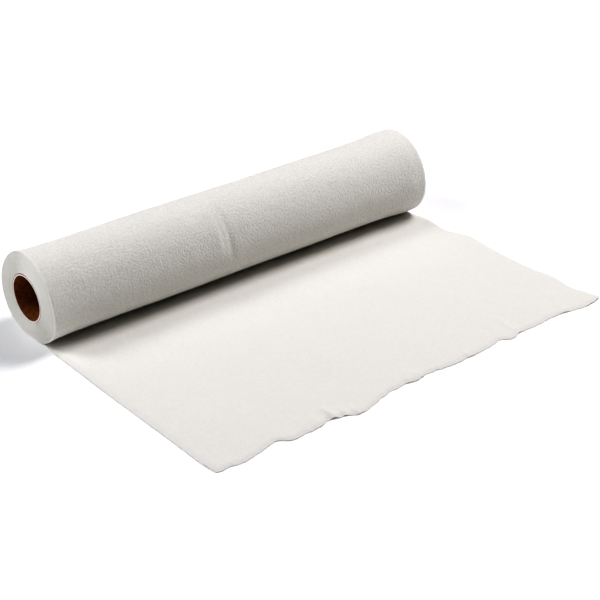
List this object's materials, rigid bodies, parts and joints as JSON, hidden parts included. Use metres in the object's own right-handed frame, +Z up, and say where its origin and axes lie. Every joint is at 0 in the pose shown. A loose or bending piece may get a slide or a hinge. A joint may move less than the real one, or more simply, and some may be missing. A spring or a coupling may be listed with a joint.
{
  "type": "roll of felt",
  "caption": "Thick white felt wound on a cardboard tube, lying on its side with its loose end drawn out flat in front and cut unevenly.",
  "frame": {"origin": "on the surface that the roll lies on, under the middle of the roll's length, on its resting line", "axes": "+X along the tube, +Z up, -Y the way the loose end runs out"},
  "size_m": [0.4545, 0.3319, 0.0868],
  "materials": {
    "felt": "matt, soft and slightly hairy",
    "cardboard": "matt brown board"
  },
  "bodies": {
    "root": {"felt": "felt", "core": "cardboard"}
  },
  "joints": []
}
